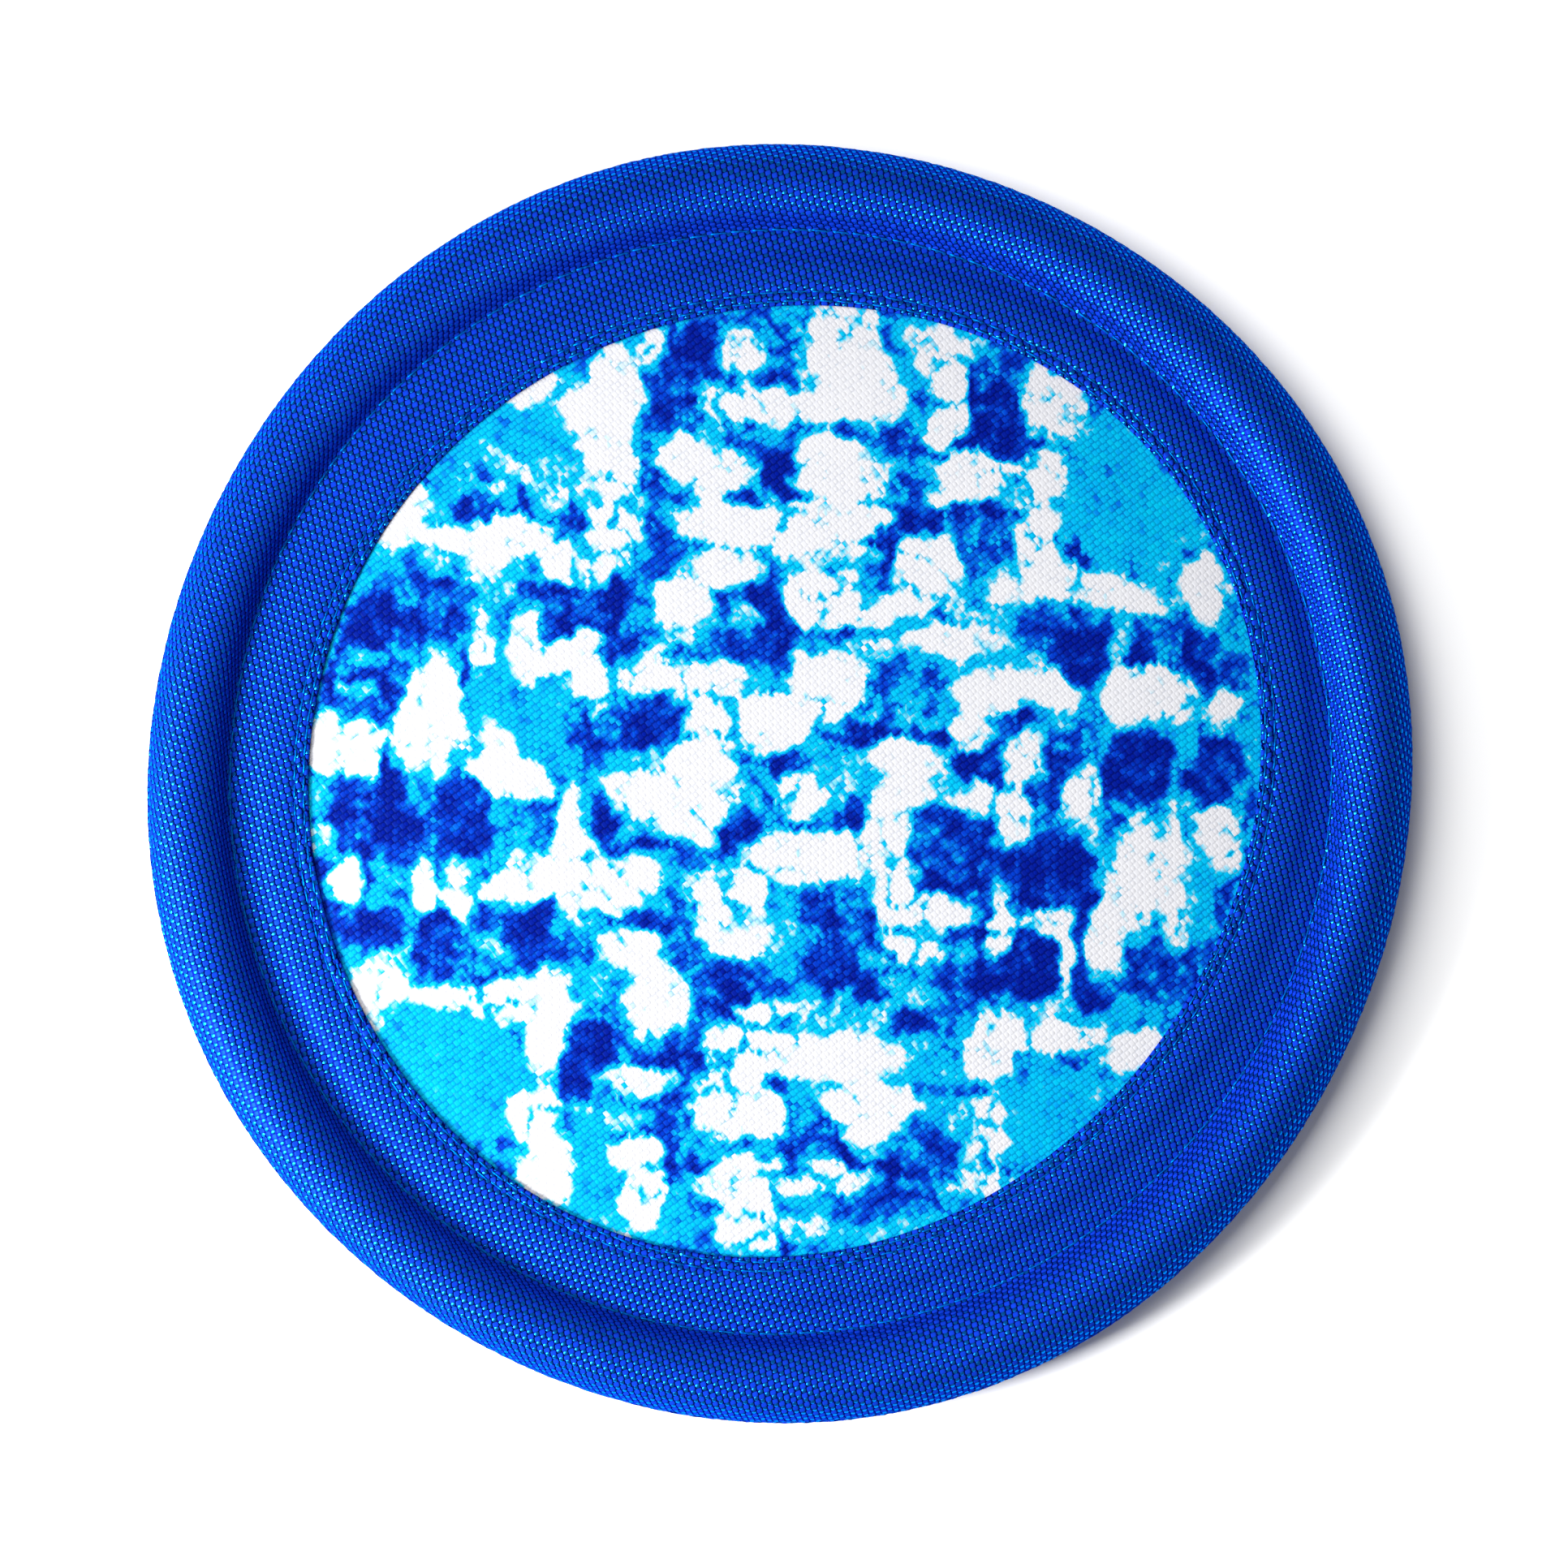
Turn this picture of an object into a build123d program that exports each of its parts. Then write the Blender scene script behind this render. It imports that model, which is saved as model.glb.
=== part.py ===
from build123d import *
import os
from math import acos, asin, atan2, cos, degrees, hypot, radians, sin, sqrt

# Soft cloth flying disc with a padded rim.
# Millimetres, +Z up. The origin is on the surface that the disc lies on, under the disc's centre.
# Every piece is a body of revolution about Z, or a sector of one.

# Driving dimensions
outer_diameter = 203.0
rim_thickness = 12.6        # padded rim, over its cloth
rest_band_width = 2.4       # flat band under the rim where the padding is pressed by the disc's weight
cloth = 0.45                # thickness of the woven cloth
opening_radius = 75.9       # fold of the ring covers' hem
hem_depth = 7.0             # width of cloth turned under at the hem
fold_gap = 0.08             # space between the two layers of the hem
rim_bend_radius = 88.9      # where the covers leave the flat land and rise over the padding
panel_radius = 88.6         # cut edge of the centre panel, just short of the padding
core_clearance = 0.15       # room between foam and cloth, filled by the splice tape at the joint

# Sewing
thread_width = 0.30
thread_height = 0.24
thread_bevel = 0.08
rim_stitch_radius = 88.1
hem_inner_stitch_radius = opening_radius + 0.75
hem_outer_stitch_radius = opening_radius + 2.2

# Foam cord joint
core_joint_angle = 250.0    # where the hoop's ends meet, degrees from +X
core_joint_gap = 0.2        # degrees between the butted ends
splice_arc = 15.0           # degrees of the cord that the tape covers

# Worked out
wrap_radius = rim_thickness / 2
rest_press = wrap_radius - sqrt(wrap_radius**2 - (rest_band_width / 2) ** 2)
middle_height = wrap_radius - rest_press
core_centre_radius = outer_diameter / 2 - wrap_radius
core_radius = wrap_radius - cloth - core_clearance
wrap_middle_radius = wrap_radius - cloth / 2
lower_layer = cloth                      # mid-line of a cover's flat layer, above the disc's middle plane
upper_layer = lower_layer + cloth + fold_gap
land_surface = lower_layer + cloth / 2
hem_surface = upper_layer + cloth / 2
fold_centre = opening_radius + cloth / 2 + (cloth + fold_gap) / 2
hem_end_radius = opening_radius + hem_depth
step_width = 1.6                         # the upper layer comes down over the turned edge in this width
step_bend = 0.8
rim_bend = 0.5
seam_half_gap = degrees(asin(thread_width / 2 / (wrap_radius - cloth)))


def section_plane(angle):
    """Upright plane through Z, its sketch's X pointing out from the axis at the given angle from +X."""
    turn = radians(angle)
    return Plane(origin=(0, 0, 0), x_dir=(cos(turn), sin(turn), 0), z_dir=(sin(turn), -cos(turn), 0))


def rim_tangent():
    """Angle and point where a straight cloth run from the land's bend meets the round padding."""
    run_x = rim_bend_radius - core_centre_radius
    reach = hypot(run_x, lower_layer)
    angle = atan2(lower_layer, run_x) - acos(wrap_middle_radius / reach)
    return degrees(angle)


def cover_profile():
    """Section of the top cover: turned edge, folded hem, land, and wrap over the padding to the seam."""
    mid = middle_height
    wrap_start = rim_tangent()
    with BuildLine() as path:
        Line((hem_end_radius, mid + lower_layer), (fold_centre, mid + lower_layer))
        ThreePointArc(
            (fold_centre, mid + lower_layer),
            (fold_centre - (cloth + fold_gap) / 2, mid + (lower_layer + upper_layer) / 2),
            (fold_centre, mid + upper_layer),
        )
        wrap = CenterArc((core_centre_radius, mid), wrap_middle_radius, seam_half_gap, wrap_start - seam_half_gap)
        FilletPolyline(
            (fold_centre, mid + upper_layer),
            (hem_end_radius + step_bend, mid + upper_layer),
            (hem_end_radius + step_bend + step_width, mid + lower_layer),
            (rim_bend_radius, mid + lower_layer),
            wrap @ 1,
            radius=(step_bend, step_bend, rim_bend),
        )
    trace(path.line, line_width=cloth)


def thread_ring(radius, height):
    """One run of sewing thread round the disc, lying on cloth at the given height, its free edges bevelled."""
    with BuildPart() as ring:
        with BuildSketch(Plane.XZ) as section:
            with Locations((radius, height)):
                Rectangle(thread_width, thread_height, align=(Align.CENTER, Align.MIN))
            chamfer(section.vertices().group_by(Axis.Z)[-1], thread_bevel)
        revolve(axis=Axis.Z)
    return ring


def turned_over(part):
    """The same piece on the underside, mirrored about the disc's middle plane."""
    return mirror(part, about=Plane.XY.offset(middle_height))


# Centre panel: one layer of printed cloth
with BuildPart() as centre_panel:
    with BuildSketch(Plane.XY.offset(middle_height - cloth / 2)):
        Circle(panel_radius)
    extrude(amount=cloth)

# Ring covers: woven cloth rings, one each side, alike but for the band that the bottom one rests on
with BuildPart() as ring_cover_top:
    with BuildSketch(Plane.XZ):
        cover_profile()
    revolve(axis=Axis.Z)

with BuildPart() as ring_cover_bottom:
    add(turned_over(ring_cover_top.part))
    split(bisect_by=Plane.XY, keep=Keep.TOP)

# Rim core: round foam cord bent into a hoop, its ends butted
with BuildPart() as rim_core:
    with BuildSketch(section_plane(core_joint_angle + core_joint_gap / 2)):
        with Locations((core_centre_radius, middle_height)):
            Circle(core_radius)
    revolve(axis=Axis.Z, revolution_arc=360 - core_joint_gap)

# Splice tape: wrapped round the cord over the joint
with BuildPart() as core_splice_tape:
    with BuildSketch(section_plane(core_joint_angle - splice_arc / 2)):
        with Locations((core_centre_radius, middle_height)):
            Circle(core_radius + core_clearance)
            Circle(core_radius, mode=Mode.SUBTRACT)
    revolve(axis=Axis.Z, revolution_arc=splice_arc)

# Outer seam thread: lies between the covers' edges at the equator of the rim
with BuildPart() as outer_seam_thread:
    with BuildSketch(Plane.XZ):
        with Locations((core_centre_radius + wrap_middle_radius, middle_height)):
            Rectangle(cloth - 0.05, thread_width)
    revolve(axis=Axis.Z)

# Stitch rows: needle threads above, bobbin threads below
rows = {
    "rim_stitch": (rim_stitch_radius, land_surface),
    "hem_inner": (hem_inner_stitch_radius, hem_surface),
    "hem_outer": (hem_outer_stitch_radius, hem_surface),
}
pieces = {
    "centre_panel": centre_panel.part,
    "ring_cover_top": ring_cover_top.part,
    "ring_cover_bottom": ring_cover_bottom.part,
    "rim_core": rim_core.part,
    "core_splice_tape": core_splice_tape.part,
    "outer_seam_thread": outer_seam_thread.part,
}
for row_name, (radius, surface) in rows.items():
    needle_thread = thread_ring(radius, middle_height + surface).part
    pieces[f"{row_name}_top_thread"] = needle_thread
    pieces[f"{row_name}_bottom_thread"] = turned_over(needle_thread)

os.makedirs("parts", exist_ok=True)
for name, piece in pieces.items():
    piece.label = name
    export_step(piece, f"parts/{name}.step")
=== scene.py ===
from math import cos, pi, radians, sin

import bpy
import numpy as np
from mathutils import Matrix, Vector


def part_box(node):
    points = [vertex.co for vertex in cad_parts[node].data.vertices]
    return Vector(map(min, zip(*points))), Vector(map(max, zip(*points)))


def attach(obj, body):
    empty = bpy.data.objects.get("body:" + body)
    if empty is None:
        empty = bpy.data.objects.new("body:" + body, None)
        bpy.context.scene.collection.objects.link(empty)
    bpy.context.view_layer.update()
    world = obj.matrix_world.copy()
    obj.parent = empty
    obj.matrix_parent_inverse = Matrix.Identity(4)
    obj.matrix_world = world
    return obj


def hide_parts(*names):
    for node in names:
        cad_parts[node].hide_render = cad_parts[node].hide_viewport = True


# Soft cloth flying disc with a padded rim, seen from straight above.
# All lengths are in metres. Angles round the disc are counted from +X towards +Y.

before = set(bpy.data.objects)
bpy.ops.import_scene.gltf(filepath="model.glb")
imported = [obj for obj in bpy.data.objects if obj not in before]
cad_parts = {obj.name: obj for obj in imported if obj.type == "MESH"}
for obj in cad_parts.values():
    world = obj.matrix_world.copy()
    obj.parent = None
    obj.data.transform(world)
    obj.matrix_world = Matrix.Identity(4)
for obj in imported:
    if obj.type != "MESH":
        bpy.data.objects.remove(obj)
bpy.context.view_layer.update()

MM = 0.001
TURN = 2 * pi

# ---------------------------------------------------------------------------------------------
# Sizes, read from the frame
# ---------------------------------------------------------------------------------------------
THREAD = 0.30 * MM                                 # width of the sewing thread
panel_low, panel_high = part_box("centre_panel")
cover_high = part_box("ring_cover_top")[1]
core_low, core_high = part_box("rim_core")
MIDDLE = (panel_low.z + panel_high.z) / 2          # height of the disc's middle plane
CLOTH = panel_high.z - panel_low.z                 # thickness of the cloth
PANEL = panel_high.x                               # radius of the centre panel's cut edge
OUTER = cover_high.x                               # outer radius of the rim
WRAP = cover_high.z - MIDDLE                       # radius of the padded rim's section
CORE = (core_high.z - core_low.z) / 2              # radius of the foam cord
RIM_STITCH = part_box("rim_stitch_top_thread")[1].x - THREAD / 2
HEM_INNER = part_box("hem_inner_top_thread")[1].x - THREAD / 2
HEM_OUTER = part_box("hem_outer_top_thread")[1].x - THREAD / 2
HEM = HEM_INNER - 0.75 * MM                        # radius of the hem's fold
HEM_DEPTH = 7.0 * MM                               # cloth turned under at the hem
FOLD_GAP = 0.08 * MM
DOME, DOME_WIDTH = 2.0 * MM, 20 * MM               # rise of the stretched middle, and how far in it takes
RIM_GAP = 0.8 * MM                                 # from the rim stitches to the padded rim

JOINT = radians(250)                               # where the foam cord's ends meet
TAPE_HALF = radians(7.5)

# The cloths: direction of each yarn set in degrees, and its spacing. The underside's is the ring's, turned.
RING_CLOTH = {"a_way": 20, "a_gap": 0.762 * MM, "b_way": 104, "b_gap": 0.986 * MM}
BACK_CLOTH = {"a_way": 71, "a_gap": 0.762 * MM, "b_way": 159, "b_gap": 0.986 * MM}
PANEL_CLOTH = {"a_way": 128.5, "a_gap": 0.733 * MM, "b_way": 36, "b_gap": 0.973 * MM}

# Floats: the stretches of yarn on top of the weave. Sizes along the surface are in yarn spacings.
A_HALF_WIDTH, A_HALF_LENGTH, A_CROWN = 0.57, 0.50, 0.07 * MM
B_HALF_WIDTH, B_HALF_LENGTH, B_CROWN = 0.30, 0.46, 0.095 * MM
B_ROUND, B_BOW = 0.052 * MM, 0.065 * MM            # how far a b float falls at its sides and at its ends
B_LEAN = 0.08                                      # how far a b float's crest lies from its middle

# ---------------------------------------------------------------------------------------------
# Smooth noise and round shapes that aren't quite round
# ---------------------------------------------------------------------------------------------
def noise(x, y, cell, seed):
    """Smooth random field between -1 and 1, its bumps about one cell wide."""
    table = np.random.default_rng(seed).uniform(-1, 1, (64, 64))
    gx, gy = x / cell, y / cell
    ix, iy = np.floor(gx).astype(int), np.floor(gy).astype(int)
    fx, fy = gx - ix, gy - iy
    fx, fy = fx * fx * (3 - 2 * fx), fy * fy * (3 - 2 * fy)

    def corner(dx, dy):
        return table[(ix + dx) & 63, (iy + dy) & 63]

    low = corner(0, 0) * (1 - fx) + corner(1, 0) * fx
    high = corner(0, 1) * (1 - fx) + corner(1, 1) * fx
    return low * (1 - fy) + high * fy


def waves(theta, terms):
    """Sum of slow waves round the disc: (how many, height, place of a crest in degrees)."""
    return sum(height * np.cos(count * (theta - radians(crest))) for count, height, crest in terms)


def outline(theta):
    """Outer radius of the rim, which is a little out of round."""
    return OUTER + MM * waves(theta, [(2, 0.82, 67), (3, 0.23, 34), (4, 0.47, 18)])


def hem_line(theta):
    """Radius of the hem's fold, cut and turned by hand, so it wanders."""
    return HEM + MM * waves(theta, [(1, 1.0, 59), (2, 1.9, 45), (3, 0.73, 28)])


def stitch_line(theta):
    """Radius of the row of stitches beside the padding."""
    return RIM_STITCH + MM * waves(theta, [(1, 0.24, 85), (2, 0.6, 50), (3, 0.18, 19)])


def half_rim(theta):
    """Half the width of the padded rim."""
    return (outline(theta) - stitch_line(theta) - RIM_GAP) / 2


def seam_angle(theta):
    """Height of the outer seam, as an angle up the rim's section from its outermost point."""
    return np.radians(6 + waves(theta, [(1, 9, 235), (2, 5, 150)]))


def step(low, high, x):
    """Smooth step from 0 at low to 1 at high."""
    t = np.clip((x - low) / (high - low), 0, 1)
    return t * t * (3 - 2 * t)


# ---------------------------------------------------------------------------------------------
# Mesh building
# ---------------------------------------------------------------------------------------------
def make_object(name, verts, faces, material, smooth=True):
    mesh = bpy.data.meshes.new(name)
    mesh.from_pydata(verts, [], faces)
    mesh.polygons.foreach_set("use_smooth", [smooth] * len(mesh.polygons))
    mesh.update()
    piece = bpy.data.objects.new(name, mesh)
    bpy.context.scene.collection.objects.link(piece)
    mesh.materials.append(material)
    return piece


def add_attribute(piece, name, kind, domain, values):
    layer = piece.data.attributes.new(name, kind, domain)
    field = "vector" if kind == "FLOAT_VECTOR" else "value"
    layer.data.foreach_set(field, np.asarray(values, np.float32).ravel())


def ring_faces(around, across):
    """Quads of a grid that closes round the disc and round its section."""
    i = np.arange(around)[:, None]
    k = np.arange(across)[None, :]
    here = i * across
    there = (i + 1) % around * across
    up = (k + 1) % across
    return np.stack([here + k, there + k, there + up, here + up], -1).reshape(-1, 4)


def weave_places(cloth, x, y):
    """Yarn counts (u across the a yarns, v across the b yarns) of points on the flat cloth."""
    a, b = radians(cloth["a_way"] - 90), radians(cloth["b_way"] - 90)
    u = (x * cos(a) + y * sin(a)) / cloth["a_gap"]
    v = (x * cos(b) + y * sin(b)) / cloth["b_gap"]
    return u, v


# ---------------------------------------------------------------------------------------------
# Cloth covers of the rim
# ---------------------------------------------------------------------------------------------
AROUND = 960                                       # mesh points round the disc
STITCH_LENGTH = 3.2 * MM
RIM_PUCKERS = round(TURN * RIM_STITCH / STITCH_LENGTH)
HEM_PUCKERS = round(TURN * HEM_INNER / STITCH_LENGTH)
HEM_TAPER_START, HEM_TAPER_END = -0.4 * MM, 1.8 * MM   # the upper layer comes down over the turned edge
SWELL, SWELL_SIZE = 0.12 * MM, 9 * MM              # rise of the land between its rows of stitches
HEM_DENT, HEM_DENT_WIDTH = 0.36 * MM, 0.36 * MM
RIM_DENT, RIM_DENT_WIDTH = 0.13 * MM, 0.9 * MM
HEM_PUCKER, RIM_PUCKER = 0.4, 0.35                 # how much the dents vary along a row, as a share
PAST_HEM, BEFORE_RIM = 2.9 * MM, 1.0 * MM          # from the plain land to the fold and rim stitches
TUBE_START = radians(150)                          # where the cover meets the round padding
SLOPE_OUT, SLOPE_UP = 0.9, 1.35                    # direction in which it meets the padding
LUMPS, LUMP_SIZE = 0.016, 7 * MM                   # unevenness of the padding, as a share of its radius
RIM_FOLDS, RIM_FOLD_REACH = 0.010, 0.16            # folds from the rim stitches up the padding, as shares
COARSENESS = 0.010                                 # unevenness from one mesh point to the next, as a share
EDGE_TURN = radians(7)                             # how far before the seam the cover's edge turns in
YARN_WANDER = 0.22                                 # how far yarns stray from straight, in yarn spacings
LOWEST = 0.01 * MM                                 # the cloth is pressed flat this far above the floor


def pull(distance, width):
    """How strongly a thread pulls on cloth at that distance."""
    return np.exp(-((distance / width) ** 2))


def dome(radius):
    """How far the stretched middle of the disc stands above the row of rim stitches."""
    return DOME * np.tanh(np.maximum(RIM_STITCH - radius, 0) / DOME_WIDTH)


def land_height(theta, radius, side, seed):
    """Height of a cover's mid-line off the middle plane, from the hem's fold to the rim stitches."""
    hem, stitch = hem_line(theta), stitch_line(theta)
    double = step(hem + HEM_DEPTH + HEM_TAPER_END, hem + HEM_DEPTH + HEM_TAPER_START, radius)
    height = CLOTH + (CLOTH + FOLD_GAP) * double
    swell = SWELL * np.sin(pi * np.clip((radius - hem) / (stitch - hem), 0, 1))
    swell = swell * (1 + noise(theta * HEM, radius, SWELL_SIZE, seed))
    pucker = HEM_PUCKER * np.cos(HEM_PUCKERS * theta)
    inner = pull(radius - hem - (HEM_INNER - HEM), HEM_DENT_WIDTH)
    outer = pull(radius - hem - (HEM_OUTER - HEM), HEM_DENT_WIDTH)
    hem_dip = -HEM_DENT * (inner * (1 + pucker) + outer * (1 - pucker))
    rim_pucker = RIM_PUCKER * np.cos(RIM_PUCKERS * theta)
    rim_dip = -RIM_DENT * pull(radius - stitch, RIM_DENT_WIDTH) * (1 + rim_pucker)
    return height + swell + hem_dip + rim_dip + side * dome(radius)


def cover_midline(theta, side, seed):
    """Mid-line of one cover at each angle: radius and height off the middle plane, station by station,
    and which station is at the rim stitches."""
    hem, stitch, wide = hem_line(theta), stitch_line(theta), half_rim(theta)
    across, tall = wide - CLOTH / 2, WRAP - CLOTH / 2
    centre = outline(theta) - wide
    turn = (CLOTH + FOLD_GAP) / 2                          # radius of the fold's mid-line
    fold = hem + CLOTH / 2 + turn
    stations = []
    rng = np.random.default_rng(seed + 4)

    for back in (HEM_DEPTH, 0.6 * HEM_DEPTH, 0.25 * HEM_DEPTH):
        stations.append((hem + back, CLOTH + side * dome(hem + back)))
    under, top = CLOTH + side * dome(fold), land_height(theta, fold, side, seed)
    for share in np.linspace(0, 1, 7):
        bend = pi * share
        stations.append((fold - turn * sin(bend), under + (top - under) * (1 - cos(bend)) / 2))
    for out in (0.75, 1.0, 1.3, 1.6, 1.9, 2.2, 2.5, 2.9):
        radius = np.maximum(hem + out * MM, fold + 0.05 * MM)
        stations.append((radius, land_height(theta, radius, side, seed)))
    for share in np.linspace(0, 1, 10)[1:]:
        radius = hem + PAST_HEM + share * (stitch - hem - PAST_HEM - BEFORE_RIM)
        stations.append((radius, land_height(theta, radius, side, seed)))
    for out in (-0.65, -0.3, 0):
        radius = stitch + out * MM
        stations.append((radius, land_height(theta, radius, side, seed)))
    at_stitch = len(stations) - 1

    base = land_height(theta, stitch, side, seed)
    start_r, start_z = centre + across * cos(TUBE_START), tall * sin(TUBE_START)
    reach = start_r - stitch
    for t in (0.2, 0.4, 0.6, 0.8):
        h1, h2 = 2 * t**3 - 3 * t**2 + 1, t**3 - 2 * t**2 + t
        h3, h4 = 3 * t**2 - 2 * t**3, t**3 - t**2
        radius = h1 * stitch + h2 * reach + h3 * start_r + h4 * reach * SLOPE_OUT
        height = h1 * base + h3 * start_z + h4 * reach * SLOPE_UP
        stations.append((radius, height))

    seam = side * seam_angle(theta)
    for share in np.linspace(0, 1, 25):
        angle = TUBE_START + (seam + EDGE_TURN - TUBE_START) * share
        lump = 1 + LUMPS * noise(theta * OUTER, angle * WRAP, LUMP_SIZE, seed + 1)
        lump = lump - RIM_FOLDS * pull(share, RIM_FOLD_REACH) * np.cos(RIM_PUCKERS * theta)
        lump = lump + (1 - lump) * step(0.8, 1.0, share)
        lump = lump + COARSENESS * rng.uniform(-1, 1, len(theta))
        stations.append((centre + across * lump * np.cos(angle), tall * lump * np.sin(angle)))
    for ahead, depth in ((4.6, 0.985), (3.2, 0.955), (2.4, 0.90)):
        angle = seam + radians(ahead)
        stations.append((centre + across * depth * np.cos(angle), tall * depth * np.sin(angle)))
    radius = np.stack([r + 0 * theta for r, _ in stations], 1)
    height = np.stack([z + 0 * theta for _, z in stations], 1)
    return radius, height, at_stitch


def cover_sheet(theta, side, seed):
    """Outer and inner faces of one cover, and the flat cloth's radius, for each angle and station."""
    radius, height, at_stitch = cover_midline(theta, side, seed)
    run_r, run_z = np.gradient(radius, axis=1), np.gradient(height, axis=1)
    size = np.hypot(run_r, run_z)
    away_r, away_z = -run_z / size * CLOTH / 2, run_r / size * CLOTH / 2
    steps = np.hypot(np.diff(radius, axis=1), np.diff(height, axis=1))
    length = np.concatenate([np.zeros((len(theta), 1)), np.cumsum(steps, 1)], 1)
    flat = stitch_line(theta)[:, None] + length - length[:, at_stitch:at_stitch + 1]
    return (radius + away_r, height + away_z), (radius - away_r, height - away_z), flat


def cut_radii(side, seed):
    """Inner and outer radius of the flat ring of cloth that one cover was cut to."""
    theta = np.arange(AROUND) * TURN / AROUND
    flat = cover_sheet(theta, side, seed)[2]
    return flat[:, 0].mean(), flat[:, -1].mean()


def make_cover(name, side, cloth, material, seed):
    theta = np.arange(AROUND) * TURN / AROUND
    face, lining, flat = cover_sheet(theta, side, seed)
    inside = np.arange(face[0].shape[1] - 1, -1, -2)
    radius = np.concatenate([face[0], lining[0][:, inside]], 1)
    height = MIDDLE + side * np.concatenate([face[1], lining[1][:, inside]], 1)
    height = np.maximum(height, LOWEST)
    flat = np.concatenate([flat, flat[:, inside]], 1)
    round_x, round_y = np.cos(theta)[:, None], np.sin(theta)[:, None]
    verts = np.stack([radius * round_x, radius * round_y, height], -1).reshape(-1, 3)
    faces = ring_faces(AROUND, radius.shape[1])
    if side < 0:
        faces = faces[:, ::-1]
    piece = make_object(name, verts.tolist(), faces.tolist(), material)
    x, y = flat * round_x, flat * round_y
    u, v = weave_places(cloth, x, y)
    u = u + YARN_WANDER * noise(x, y, 11 * MM, seed + 2)
    v = v + YARN_WANDER * noise(x, y, 13 * MM, seed + 3)
    add_attribute(piece, "weave", "FLOAT_VECTOR", "POINT", np.stack([u, v, 0 * u], -1).reshape(-1, 3))
    return piece


# ---------------------------------------------------------------------------------------------
# Sewing threads
# ---------------------------------------------------------------------------------------------
THREAD_SIDES = 8
PLY_DEPTH = 0.17                                   # groove between the two plies, as a share of the radius
PLY_TWIST = 2600.0                                 # radians per metre: a ply comes up on top every 2.4 mm
THREAD_END = 0.55                                  # width of a stitch at its holes, as a share
SEAM_STITCH_LENGTH = 3.0 * MM


def tubes(paths, ups, name, material):
    """Closed twisted threads, one along each path. paths and ups are (threads, points, 3)."""
    sides = THREAD_SIDES
    count, rings, _ = paths.shape
    along = np.gradient(paths, axis=1)
    along /= np.linalg.norm(along, axis=2, keepdims=True)
    beside = np.cross(along, ups)
    beside /= np.linalg.norm(beside, axis=2, keepdims=True)
    over = np.cross(beside, along)
    reach = np.cumsum(np.linalg.norm(np.diff(paths, axis=1, prepend=paths[:, :1]), axis=2), 1)
    phi = np.arange(sides) * TURN / sides
    ply = 1 + PLY_DEPTH * np.cos(2 * phi - PLY_TWIST * reach[:, :, None])
    taper = np.ones(rings)
    taper[[0, -1]] = THREAD_END
    size = THREAD / 2 * ply * taper[:, None]
    cos_phi, sin_phi = np.cos(phi)[:, None], np.sin(phi)[:, None]
    away = cos_phi * beside[:, :, None] + sin_phi * over[:, :, None]
    verts = paths[:, :, None] + away * size[..., None]
    ring = np.arange(sides)
    quads = np.stack([ring, (ring + 1) % sides, (ring + 1) % sides + sides, ring + sides], -1)
    one = (quads[None] + np.arange(rings - 1)[:, None, None] * sides).reshape(-1, 4)
    whole = (one[None] + np.arange(count)[:, None, None] * rings * sides).reshape(-1, 4)
    faces = whole.tolist()
    for thread in range(count):
        first = thread * rings * sides
        last = first + (rings - 1) * sides
        faces.append([first + k for k in range(sides)][::-1])
        faces.append([last + k for k in range(sides)])
    return make_object(name, verts.reshape(-1, 3).tolist(), faces, material)


def stitch_row(name, side, start, sweep, spread, place, height, material, seed):
    """A lockstitch row: each stitch comes up at one hole, lies on the cloth and goes down at the next.
    It starts at one angle and goes on for more than a turn, with as many stitches a turn in every row.
    place and height give the row's radius and the cloth's mid-line at an angle. spread is how far the
    stitches that go over the row's start lie beside it."""
    rng = np.random.default_rng(seed)
    points = 9
    count = round(sweep * RIM_STITCH / STITCH_LENGTH)
    ends = start + sweep * (np.arange(count + 1) + rng.uniform(-0.06, 0.06, count + 1)) / count
    t = np.linspace(0.045, 0.955, points)[None, :]         # places along a stitch, between its holes
    theta = ends[:-1, None] + (ends[1:] - ends[:-1])[:, None] * t
    lap = spread * step(0, radians(7), theta - start - TURN)
    slant = rng.uniform(0.05, 0.13, (count, 1)) * MM * (t - 0.5) * 2
    radius = place(theta) + lap + slant
    rise = 1 - np.abs(2 * t - 1) ** 3
    lift = THREAD * (0.60 * rise - 0.95 * (1 - rise)) * rng.uniform(0.85, 1.15, (count, 1))
    z = MIDDLE + side * (height(theta, radius) + CLOTH / 2 + lift)
    paths = np.stack([radius * np.cos(theta), radius * np.sin(theta), z], -1)
    ups = np.broadcast_to([0.0, 0.0, float(side)], paths.shape)
    return tubes(paths, ups, name, material)


def seam_stitches(name, material):
    """Short stitches along the groove of the outer seam."""
    rng = np.random.default_rng(41)
    points, count = 7, round(TURN * OUTER / SEAM_STITCH_LENGTH)
    ends = TURN * (np.arange(count + 1) + rng.uniform(-0.05, 0.05, count + 1)) / count
    ends[-1] = ends[0] + TURN
    t = np.linspace(0.10, 0.90, points)[None, :]
    theta = ends[:-1, None] + (ends[1:] - ends[:-1])[:, None] * t
    wide = half_rim(theta)
    sunk = 0.30 * MM + 0.5 * MM * np.abs(2 * t - 1) ** 3   # depth below the cloth's face
    angle = seam_angle(theta) + radians(1.5) * (t - 0.5)
    radius = outline(theta) - wide + (wide - sunk) * np.cos(angle)
    z = MIDDLE + (WRAP - sunk) * np.sin(angle)
    paths = np.stack([radius * np.cos(theta), radius * np.sin(theta), z], -1)
    ups = np.stack([np.cos(theta), np.sin(theta), 0 * theta], -1)
    return tubes(paths, ups, name, material)


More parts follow.
